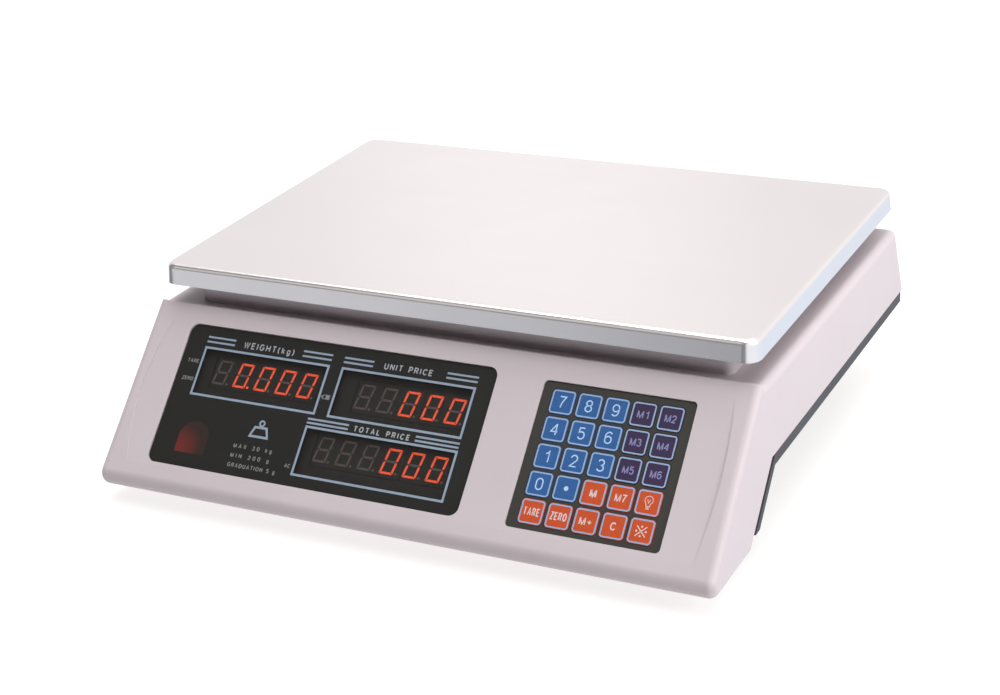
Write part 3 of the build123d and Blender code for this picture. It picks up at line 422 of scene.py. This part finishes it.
class Print:
    """Thin flat shapes in one panel's plane, gathered into one mesh."""

    def __init__(self, plane, top, thickness=0.03):
        self.plane = plane
        self.top, self.bottom = top, top - thickness
        self.mesh = bmesh.new()

    def wall(self, upper, lower):
        """The faces between a shape's upper and lower outlines."""
        for i in range(len(upper)):
            j = (i + 1) % len(upper)
            self.mesh.faces.new((upper[i], lower[i], lower[j], upper[j]))

    def loop(self, points, z):
        """New corners at one height."""
        return [self.mesh.verts.new((x, y, z)) for x, y in points]

    def fill(self, points):
        """A solid flat shape."""
        upper, lower = self.loop(points, self.top), self.loop(points, self.bottom)
        self.mesh.faces.new(upper)
        self.mesh.faces.new(reversed(lower))
        self.wall(upper, lower)

    def band(self, left, right, closed):
        """A strip between two lines with as many points each, closed or with two ends."""
        (left_up, left_low), (right_up, right_low) = [
            (self.loop(points, self.top), self.loop(points, self.bottom))
            for points in (left, right)]
        new = self.mesh.faces.new
        for i in range(len(left) - (not closed)):
            j = (i + 1) % len(left)
            new((left_up[i], left_up[j], right_up[j], right_up[i]))
            new((left_low[j], left_low[i], right_low[i], right_low[j]))
            new((left_up[i], left_low[i], left_low[j], left_up[j]))
            new((right_up[i], right_up[j], right_low[j], right_low[i]))
        if not closed:
            for end in (0, -1):
                new((left_up[end], left_low[end], right_low[end], right_up[end]))

    def ring(self, outer, inner):
        """The band between two outlines with as many points each."""
        self.band(outer, inner, True)

    def stroke(self, points, width):
        """A line of even width with mitred corners, closed if it ends where it began."""
        path = [Vector(point) for point in points]
        closed = (path[0] - path[-1]).length < 1e-6
        if closed:
            path.pop()
        steps = [(path[(i + 1) % len(path)] - path[i]).normalized() for i in range(len(path))]
        left, right = [], []
        for i, point in enumerate(path):
            before = steps[i - 1] if closed or i else steps[0]
            after = steps[i] if closed or i < len(path) - 1 else steps[i - 1]
            way = (before + after).normalized()
            side = way.orthogonal() * width / 2 / max(way.dot(after), sharpest_mitre)
            left.append(point + side)
            right.append(point - side)
        self.band(left, right, closed)

    def outline(self, x0, y0, x1, y1, width, radius=0.0, steps=6):
        """A frame of even width inside a rectangle."""
        if radius:
            self.ring(rounded(x0, y0, x1, y1, radius, steps),
                      rounded(x0 + width, y0 + width, x1 - width, y1 - width,
                              max(radius - width, 0.05), steps))
        else:
            self.ring(rectangle(x0, y0, x1, y1),
                      rectangle(x0 + width, y0 + width, x1 - width, y1 - width))

    def punched(self, outer, holes):
        """A flat sheet with holes in it."""
        edges = []
        for points in (outer, *holes):
            corners = self.loop(points, self.top)
            edges += [self.mesh.edges.new((corners[i], corners[(i + 1) % len(corners)]))
                      for i in range(len(corners))]
        made = bmesh.ops.triangle_fill(self.mesh, use_beauty=True, edges=edges)
        faces = [f for f in made["geom"] if isinstance(f, bmesh.types.BMFace)]
        lower = bmesh.ops.extrude_face_region(self.mesh, geom=faces)["geom"]
        for corner in lower:
            if isinstance(corner, bmesh.types.BMVert):
                corner.co.z = self.bottom

    def text(self, words, x0, y0, x1, y1, weight):
        """Lettering from x0 to x1, its capitals from y0 to y1, spaced out or condensed to fit."""
        height = y1 - y0 - weight
        room = x1 - x0 - weight
        gaps = len(words) - 1
        widths = [glyphs[letter][0] * height for letter in words]
        gap = side_bearing[0] * weight + side_bearing[1] * height
        squeeze = min(1.0, (room - gaps * gap) / sum(widths))
        if gaps:
            gap = (room - squeeze * sum(widths)) / gaps
        x = x0 + weight / 2 + (0 if gaps else (room - squeeze * sum(widths)) / 2)
        for letter, width in zip(words, widths):
            for points in glyphs[letter][1:]:
                self.stroke([(x + px * height * squeeze, y0 + weight / 2 + py * height)
                             for px, py in points], weight)
            x += width * squeeze + gap

    def piece(self, name, body, finish):
        """The finished object, riding its body."""
        bmesh.ops.transform(self.mesh, matrix=self.plane, verts=self.mesh.verts)
        bmesh.ops.recalc_face_normals(self.mesh, faces=self.mesh.faces)
        data = bpy.data.meshes.new(name)
        self.mesh.to_mesh(data)
        self.mesh.free()
        data.materials.append(inks[finish].material)
        made = bpy.data.objects.new(name, data)
        scene.collection.objects.link(made)
        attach(made, body)


# ==== prints on the console's window =========================================================
window_left, window_right, window_top, window_bottom = -150.1, 36.1, 0.0, -79.8
window_radius = 5.0
line, thin_line = 1.25, 1.05
title_weight = 0.62
# each display's frame, its double lines as (x ranges, y of each), and its title's rectangle
display_frames = {
    "WEIGHT(kg)": ((-138.1, -39.7, -59.85, -11.6), ((-138.1, -120.5), (-77.8, -59.9)),
                   (-6.1, -8.8), (-114.8, -9.6, -83.3, -5.9)),
    "UNIT PRICE": ((-52.6, -39.8, 26.2, -11.6), ((-52.6, -35.0), (8.1, 26.1)),
                   (-6.3, -8.8), (-28.5, -9.4, -0.1, -5.9)),
    "TOTAL PRICE": ((-62.8, -73.7, 26.5, -46.0), ((-62.8, -38.1), (1.2, 26.2)),
                    (-42.2, -44.4), (-34.9, -45.1, -2.0, -41.9)),
}
arch_pane = (-136.2, -71.8, -117.8, -53.9, 8.6)
# each line of small print: its rectangle and the width of its strokes
small_print = {
    "TARE": (-146.2, -21.8, -139.1, -19.6, 0.40),
    "ZERO": (-146.2, -32.0, -139.1, -29.8, 0.40),
    "AC": (-67.8, -70.2, -64.3, -68.0, 0.40),
    "MAX 30 kg": (-101.3, -64.4, -77.5, -62.0, 0.44),
    "MIN 200 g": (-101.3, -69.7, -77.5, -67.3, 0.44),
    "GRADUATION 5 g": (-101.3, -75.0, -72.0, -72.6, 0.44),
}
film_top = -window_recess - print_depth


def window_film():
    """The black film behind the acrylic, clear inside the frames and at the arched pane."""
    film = Print(console, film_top, film_thickness)
    outer = rounded(window_left + film_inset, window_bottom + film_inset,
                    window_right - film_inset, window_top - film_inset,
                    window_radius - film_inset, 10)
    holes = [rectangle(x0 + line, y0 + line, x1 - line, y1 - line)
             for (x0, y0, x1, y1), *_ in display_frames.values()]
    holes.append(arch(*arch_pane))
    film.punched(outer, holes)
    film.piece("window_film", "base", "film")

    pane = Print(console, film_top - 0.01, 0.04)
    pane.fill(arch(*arch_pane))
    pane.piece("arched_filter", "base", "filter")


def window_lines():
    """The displays' frames, the double lines beside their titles, and a pictogram."""
    lines = Print(console, film_top + lines_proud)
    for (x0, y0, x1, y1), ranges, heights, _ in display_frames.values():
        lines.outline(x0, y0, x1, y1, line)
        for start, end in ranges:
            for y in heights:
                lines.fill(rectangle(start, y - thin_line / 2, end, y + thin_line / 2))
    # pictogram of a weight: a tapered block with a ring on top
    lines.ring([(-94.6, -57.3), (-82.2, -57.3), (-84.4, -50.9), (-92.4, -50.9)],
               [(-93.0, -56.0), (-83.8, -56.0), (-85.4, -52.2), (-91.4, -52.2)])
    lines.ring(circle(-88.4, -49.2, 1.9), circle(-88.4, -49.2, 0.9))
    lines.piece("window_lines", "base", "pale")


def window_titles():
    """The displays' titles, the small print, and a battery sign."""
    titles = Print(console, film_top + lines_proud)
    for words, (*_, place) in display_frames.items():
        titles.text(words, *place, title_weight)
    titles.piece("window_titles", "base", "title")

    small = Print(console, film_top + lines_proud)
    for words, place in small_print.items():
        small.text(words, *place)
    # the battery sign: its case, its pole and its charge
    small.outline(-58.3, -30.5, -54.1, -28.0, 0.35)
    small.fill(rectangle(-59.3, -29.8, -58.2, -28.7))
    small.fill(rectangle(-56.6, -30.1, -54.6, -28.4))
    small.piece("window_small_print", "base", "dim")


window_film()
window_lines()
window_titles()


# ==== seven-segment digits ===================================================================
digit_pitch, digit_height, digit_width = 13.25, 13.9, 7.9
bar_width, bar_gap = 1.2, 0.22
digit_slant = tan(radians(9.0))
digit_shift = -0.75           # from the middle of a digit's cell to the middle of its bars
point_radius, point_gap = 0.75, 1.7
ZERO, NONE = "abcdef", ""     # which bars are lit
module_height = 19.0
clearance = 0.01              # between a print and the face that it lies on
lit_proud, unlit_proud = 0.06, 0.05
mask_proud, mask_thickness, mask_overhang, mask_clearance = 0.08, 0.04, 0.9, 0.1


def segment_shapes():
    """Outlines of the seven bars of one digit round its centre, before it is slanted."""
    w, h, t, g = digit_width / 2, digit_height / 2, bar_width, bar_gap
    m = t / 2

    def across(y, inner):
        left, right = -w + g, w - g
        if inner:
            return [(left + m, y), (left + t, y + m), (right - t, y + m), (right - m, y),
                    (right - t, y - m), (left + t, y - m)]
        up = 1 if y > 0 else -1
        return [(left, up * h), (right, up * h),
                (right - t, up * (h - t)), (left + t, up * (h - t))]

    def upright(side, low, high, low_middle):
        x = side * w
        if low_middle:
            return [(x, high - g), (x - side * t, high - t - g), (x - side * t, low + m + g),
                    (x - side * m, low + g), (x, low + m + g)]
        return [(x, low + g), (x - side * t, low + t + g), (x - side * t, high - m - g),
                (x - side * m, high - g), (x, high - m - g)]

    return {
        "a": across(h, False), "d": across(-h, False), "g": across(0.0, True),
        "b": upright(1, 0.0, h, True), "c": upright(1, -h, 0.0, False),
        "f": upright(-1, 0.0, h, True), "e": upright(-1, -h, 0.0, False),
    }


segments = segment_shapes()


def display(name, plane, middle, y, depth, digits, lit_point):
    """A row of digits on the front of one display; digits holds the lit bars of each."""
    lit = Print(plane, -depth + lit_proud, lit_proud - clearance)
    unlit = Print(plane, -depth + unlit_proud, unlit_proud - clearance)
    first = middle - (len(digits) - 1) * digit_pitch / 2
    for number, bars in enumerate(digits):
        x = first + number * digit_pitch + digit_shift
        for bar_name, shape in segments.items():
            target = lit if bar_name in bars else unlit
            target.fill([(x + px + py * digit_slant, y + py) for px, py in shape])
        point_x = x + digit_width / 2 + point_gap - digit_height / 2 * digit_slant
        target = lit if number == lit_point else unlit
        target.fill(circle(point_x, y - digit_height / 2 + point_radius, point_radius, 16))
    lit.piece(name + "_lit", "base", "lit")
    unlit.piece(name + "_unlit", "base", "unlit")


# each display behind the window: its middle, its lit bars and its lit point
console_displays = [
    ("weight_digits", -97.3, -23.9, [NONE] + [ZERO] * 4, 1),
    ("unit_price_digits", -9.0, -24.9, [NONE] * 2 + [ZERO] * 3, None),
    ("total_price_digits", -16.2, -56.5, [NONE] * 3 + [ZERO] * 3, None),
]


def display_mask():
    """Dark card round the display modules, level with their faces, seen inside the frames."""
    mask = Print(console, -digit_face_depth + mask_proud, mask_thickness)
    half_height = module_height / 2 + mask_clearance
    for (edges, *_), (_, middle, y, digits, _) in zip(display_frames.values(), console_displays):
        x0, y0, x1, y1 = edges
        half_width = len(digits) * digit_pitch / 2 + mask_clearance
        mask.punched(rectangle(x0 - mask_overhang, y0 - mask_overhang,
                               x1 + mask_overhang, y1 + mask_overhang),
                     [rectangle(middle - half_width, y - half_height,
                                middle + half_width, y + half_height)])
    mask.piece("display_mask", "base", "mask")


for name, middle, y, digits, point in console_displays:
    display(name, console, middle, y, digit_face_depth, digits, point)
display_mask()


# ==== rear window ============================================================================
rear_width, rear_height, rear_radius = 238.0, 31.0, 3.8
rear_digit_y = -0.2
rear_line, rear_margin = 0.9, 1.6      # the frames' width, and their gap to the display modules
rear_frame_low, rear_frame_high = -11.6, 8.4
rear_title_low, rear_title_high, rear_title_weight = 10.0, 12.8, 0.4
rear_letter_pitch = 2.7
# each display: its middle, its lit bars, its lit point and its title
rear_displays = {
    "weight": (-78.0, [NONE] + [ZERO] * 4, 1, "WEIGHT(kg)"),
    "unit_price": (-5.0, [NONE] * 2 + [ZERO] * 3, None, "UNIT PRICE"),
    "total_price": (73.0, [NONE] * 3 + [ZERO] * 3, None, "TOTAL PRICE"),
}


def rear_prints():
    """The customer's readings, with the film, frames and titles of their window."""
    film_front = -rear_recess - print_depth
    film = Print(rear, film_front, film_thickness)
    lines = Print(rear, film_front + lines_proud)
    titles = Print(rear, film_front + lines_proud)
    holes = []
    for name, (middle, digits, point, words) in rear_displays.items():
        half = len(digits) * digit_pitch / 2 + rear_margin
        x0, x1 = middle - half, middle + half
        holes.append(rectangle(x0 + rear_line, rear_frame_low + rear_line,
                               x1 - rear_line, rear_frame_high - rear_line))
        lines.outline(x0, rear_frame_low, x1, rear_frame_high, rear_line)
        half_title = rear_letter_pitch * len(words) / 2
        titles.text(words, middle - half_title, rear_title_low,
                    middle + half_title, rear_title_high, rear_title_weight)
        display(f"customer_{name}_digits", rear, middle, rear_digit_y, rear_digit_face_depth,
                digits, point)
    half_width, half_height = rear_width / 2 - film_inset, rear_height / 2 - film_inset
    film.punched(rounded(-half_width, -half_height, half_width, half_height,
                         rear_radius - film_inset, 10), holes)
    film.piece("rear_window_film", "base", "film")
    lines.piece("rear_window_lines", "base", "pale")
    titles.piece("rear_window_titles", "base", "title")


rear_prints()


# ==== key legends ============================================================================
key_pitch, key_first_x, key_first_y = 14.4, 74.6, -12.6
key_width, key_height, key_radius = 12.8, 12.9, 2.0
legend_proud, outline_proud, key_print_thickness = 0.02, 0.01, 0.04
outline_inset, outline_width = 0.32, 0.75
point_mark_radius = 1.2
key_rows = [
    [("key_7", "7"), ("key_8", "8"), ("key_9", "9"), ("key_m1", "M1"), ("key_m2", "M2")],
    [("key_4", "4"), ("key_5", "5"), ("key_6", "6"), ("key_m3", "M3"), ("key_m4", "M4")],
    [("key_1", "1"), ("key_2", "2"), ("key_3", "3"), ("key_m5", "M5"), ("key_m6", "M6")],
    [("key_0", "0"), ("key_point", "dot"), ("key_m", "M"), ("key_m7", "M7"),
     ("key_light", "bulb")],
    [("key_tare", "TARE"), ("key_zero", "ZERO"), ("key_m_plus", "M+"), ("key_clear", "C"),
     ("key_star", "star")],
]
# width, height and weight of the lettering, by its length or for one key
legend_sizes = {1: (4.2, 6.4, 0.66), 2: (6.0, 4.1, 0.6), 4: (8.7, 4.1, 0.58)}
legend_special = {"M": (5.0, 4.3, 0.85), "M+": (6.7, 4.1, 0.6), "C": (3.2, 4.1, 0.6)}


def bulb(legend, x, y):
    """A light bulb: a pear-shaped outline, its screw cap and its filament."""
    glass, neck, thin = 2.1, 0.85, 0.34
    foot_left, foot_right = (x - neck, y - 1.9), (x + neck, y - 1.9)
    pear = [foot_left] + arc(x, y + 1.3, glass, glass, 232, -52) + [foot_right, foot_left]
    legend.stroke(pear, thin)
    for drop in (2.5, 3.1):
        legend.stroke([(x - neck, y - drop), (x + neck, y - drop)], thin)
    legend.stroke([(x - 0.8, y + 1.6), (x, y - 0.2), (x + 0.8, y + 1.6)], thin)


def star(legend, x, y):
    """A reference mark: a diagonal cross with four dots."""
    reach, weight, out, dot_radius = 2.6, 0.5, 2.4, 0.5
    for rise in (-reach, reach):
        legend.stroke([(x - reach, y - rise), (x + reach, y + rise)], weight)
    for dx, dy in ((0, out), (out, 0), (0, -out), (-out, 0)):
        legend.fill(circle(x + dx, y + dy, dot_radius, 16))


def key_legend(key, words, x, y):
    """The pale outline and the lettering on one key."""
    kind = slots[key].split("_")[1]
    legend = Print(console, -key_top_depth + legend_proud, key_print_thickness)
    if words == "dot":
        legend.fill(circle(x, y, point_mark_radius))
    elif words == "bulb":
        bulb(legend, x, y)
    elif words == "star":
        star(legend, x, y)
    else:
        wide, high, weight = legend_special.get(words) or legend_sizes[len(words)]
        legend.text(words, x - wide / 2, y - high / 2, x + wide / 2, y + high / 2, weight)
    legend.piece("legend_" + key, key, kind + "_legend")

    edge = Print(console, -key_top_depth + outline_proud, key_print_thickness)
    half_width, half_height = key_width / 2 - outline_inset, key_height / 2 - outline_inset
    edge.outline(x - half_width, y - half_height, x + half_width, y + half_height,
                 outline_width, key_radius - outline_inset)
    edge.piece("outline_" + key, key, "outline")


for row, keys in enumerate(key_rows):
    for column, (key, words) in enumerate(keys):
        key_legend(key, words, key_first_x + column * key_pitch, key_first_y - row * key_pitch)


# ==== stage, lights and camera ===============================================================
def floor():
    """The pale floor, which also throws light up at the scale."""
    half = 14.0
    data = bpy.data.meshes.new("floor")
    corners = [(x, y, 0) for x, y in rectangle(-half, -half, half, half)]
    data.from_pydata(corners, [], [(0, 1, 2, 3)])
    surface = Finish("floor_paint", (0.30, 0.295, 0.292), 0.7, Emission_Strength=0.74)
    surface.set("Emission Color", (1, 0.985, 0.975, 1))
    surface.tint(surface.spread(surface.noise(1.5, 3.0), 0.3, 0.8, 0.0, 0.1), (0.28, 0.276, 0.273))
    data.materials.append(surface.material)
    made = bpy.data.objects.new("floor", data)
    scene.collection.objects.link(made)
    made.visible_glossy = False


class Surroundings:
    """A soft studio round the scene, made of broad patches of light in chosen directions."""

    def __init__(self):
        world = bpy.data.worlds.new("studio")
        world.use_nodes = True
        scene.world = world
        self.tree = world.node_tree
        self.place = self.tree.nodes.new("ShaderNodeTexCoord")

    def node(self, kind, inputs, **settings):
        return add_node(self.tree, kind, inputs, settings).outputs

    def patch(self, direction, start, end, strength):
        """Light that grows towards a direction, from cosine start to cosine end of the angle."""
        toward = self.node("VectorMath", {0: self.place.outputs["Generated"],
                                          1: Vector(direction).normalized()},
                           operation="DOT_PRODUCT")["Value"]
        return self.node("MapRange", {"Value": toward, "From Min": start, "From Max": end,
                                      "To Max": strength}, interpolation_type="SMOOTHSTEP")["Result"]

    def joined(self, operation, base, patches):
        """Patches put together, their sum or the brightest of them."""
        total = base
        for patch in patches:
            total = self.node("Math", {0: total, 1: patch}, operation=operation)["Value"]
        return total

    def finish(self, seen_in_gloss, lights, backdrop):
        """What glossy surfaces mirror, what lights matt ones, and what the camera sees."""
        path = self.node("LightPath", {})
        strength = self.node("Mix", {0: path["Is Glossy Ray"], 2: lights, 3: seen_in_gloss})[0]
        strength = self.node("Mix", {0: path["Is Camera Ray"], 2: strength, 3: backdrop})[0]
        low = self.patch((0, 0, -1), 0.08, 0.35, 1.0)
        colour = self.node("Mix", {0: low, 6: (0.985, 0.99, 1.0, 1), 7: (0.80, 0.91, 1.06, 1)},
                           data_type="RGBA")[2]
        background = self.tree.nodes["Background"]
        self.tree.links.new(strength, background.inputs["Strength"])
        self.tree.links.new(colour, background.inputs["Color"])


def surroundings():
    """The studio's patches: direction, cosines where each starts and is full, and strength."""
    studio = Surroundings()
    mirrored = studio.joined("MAXIMUM", 0.26, [
        studio.patch((0.3, 0.5, 0.8), 0.45, 0.85, 0.975),        # overhead, towards the back
        studio.patch((-0.1, 1, 0.1), -0.1, 0.5, 0.90),           # the wall behind
        studio.patch((-0.416, 0.842, 0.343), 0.975, 1.0, 1.12),  # a brighter spot on that wall
        studio.patch((1, 0, 0), 0.1, 0.35, 1.05),                # the right side
        studio.patch((-0.6, -0.72, -0.34), 0.86, 1.0, 0.84),     # low in front, for the tray's lip
        studio.patch((-0.43, 0.06, 0.91), 0.92, 0.98, 0.85),     # for the top of the lip's bend
        studio.patch((-0.43, -0.77, 0.50), 0.92, 0.98, 0.72),    # for the foot of the lip's bend
    ])
    lights = studio.joined("ADD", 0.0, [
        studio.patch((0, 0, 1), 0.7, 0.95, 1.36),                # straight above
        studio.patch((0, 1, 0.2), 0.1, 0.9, 1.3),                # behind
        studio.patch((-1, 0, 0.2), 0.2, 0.9, 0.12),              # a little from the left
    ])
    studio.finish(mirrored, lights, 1.03)


def softbox(name, place, target, width, height, power):
    """A rectangular lamp at a place, turned towards its target."""
    light = bpy.data.lights.new(name, "AREA")
    light.shape, light.size, light.size_y = "RECTANGLE", width, height
    light.energy = power
    holder = bpy.data.objects.new(name, light)
    scene.collection.objects.link(holder)
    holder.location = place
    holder.rotation_euler = (Vector(target) - Vector(place)).to_track_quat("-Z", "Y").to_euler()
    holder.visible_camera = False


def camera():
    """The photograph's viewpoint."""
    azimuth, elevation, roll = radians(27.652), radians(23.560), radians(-3.676)
    back = Vector((sin(azimuth) * cos(elevation), -cos(azimuth) * cos(elevation), sin(elevation)))
    right = Vector((cos(azimuth), sin(azimuth), 0))
    up = back.cross(right)
    columns = (right * cos(roll) + up * sin(roll), up * cos(roll) - right * sin(roll), back)
    data = bpy.data.cameras.new("camera")
    data.sensor_width, data.lens = 36.0, 72.18
    data.clip_start, data.clip_end = 0.05, 60.0
    made = bpy.data.objects.new("camera", data)
    scene.collection.objects.link(made)
    turn = Matrix(columns).transposed().to_4x4()
    made.matrix_world = Matrix.Translation((0.46601, -0.91292, 0.49651)) @ turn
    scene.camera = made


floor()
surroundings()
softbox("overhead", (0.1, 0.1, 1.9), (0, 0, 0), 2.0, 2.0, 29.5)
softbox("right_key", (1.7, -0.2, 0.8), (0, 0, 0.05), 1.2, 1.0, 20.0)
camera()
scene.view_settings.view_transform = "Standard"
